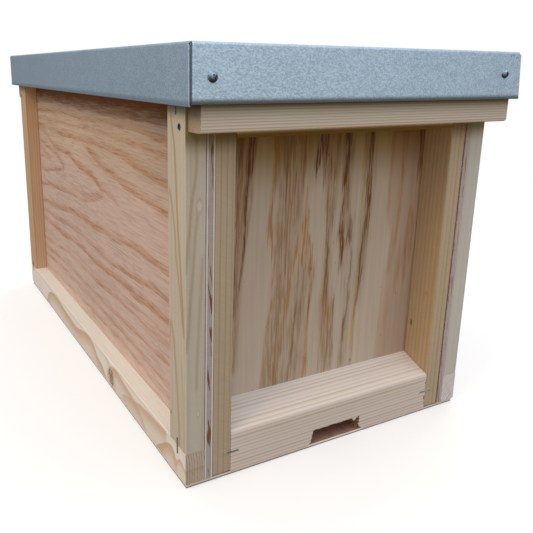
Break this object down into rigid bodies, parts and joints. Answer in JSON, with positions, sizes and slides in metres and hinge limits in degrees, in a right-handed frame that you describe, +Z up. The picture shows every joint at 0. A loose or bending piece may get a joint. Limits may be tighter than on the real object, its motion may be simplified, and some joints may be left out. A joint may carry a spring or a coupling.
{
  "type": "nuc box",
  "caption": "Small oblong beehive box of plywood on a timber frame, with recessed ends, a slot entrance in a sloping sill, carrying bars and a lift-off metal-covered roof.",
  "frame": {"origin": "on the ground under the middle of the box", "axes": "+Z up, the entrance faces -Y, +X to the right of someone facing the entrance"},
  "size_m": [0.262, 0.5002, 0.2837],
  "materials": {
    "pine": "planed, bare",
    "pale_pine": "planed, bare",
    "oak_ply": "sanded, bare",
    "streaked_ply": "sanded, bare",
    "floor_ply": "sanded, bare",
    "galvanised_sheet": "galvanised, matt",
    "bright_steel": "zinc plated"
  },
  "bodies": {
    "box": {"floor_sheet": "floor_ply", "left_side_panel": "oak_ply", "right_side_panel": "oak_ply", "left_bottom_rail": "pale_pine", "right_bottom_rail": "pale_pine", "left_top_rail": "pine", "right_top_rail": "pine", "left_front_post": "pine", "right_front_post": "pine", "left_rear_post": "pine", "right_rear_post": "pine", "front_panel": "streaked_ply", "rear_panel": "streaked_ply", "left_front_batten": "pine", "right_front_batten": "pine", "left_rear_batten": "pine", "right_rear_batten": "pine", "front_lug_rail": "pine", "rear_lug_rail": "pine", "entrance_sill": "pale_pine", "rear_sill": "pale_pine", "front_hand_bar": "pine", "rear_hand_bar": "pine", "post_nails": "bright_steel", "side_staples": "bright_steel", "end_staples": "bright_steel", "hand_bar_screws": "bright_steel", "floor_nails": "bright_steel"},
    "roof": {"roof_cover": "galvanised_sheet", "roof_deck": "oak_ply", "front_roof_rim": "pine", "rear_roof_rim": "pine", "left_roof_rim": "pine", "right_roof_rim": "pine", "roof_screws": "bright_steel"}
  },
  "joints": [
    {"name": "roof_lift", "type": "slide", "parent": "box", "child": "roof", "axis": [0, 0, 1], "range_m": [0, 0.3]}
  ]
}
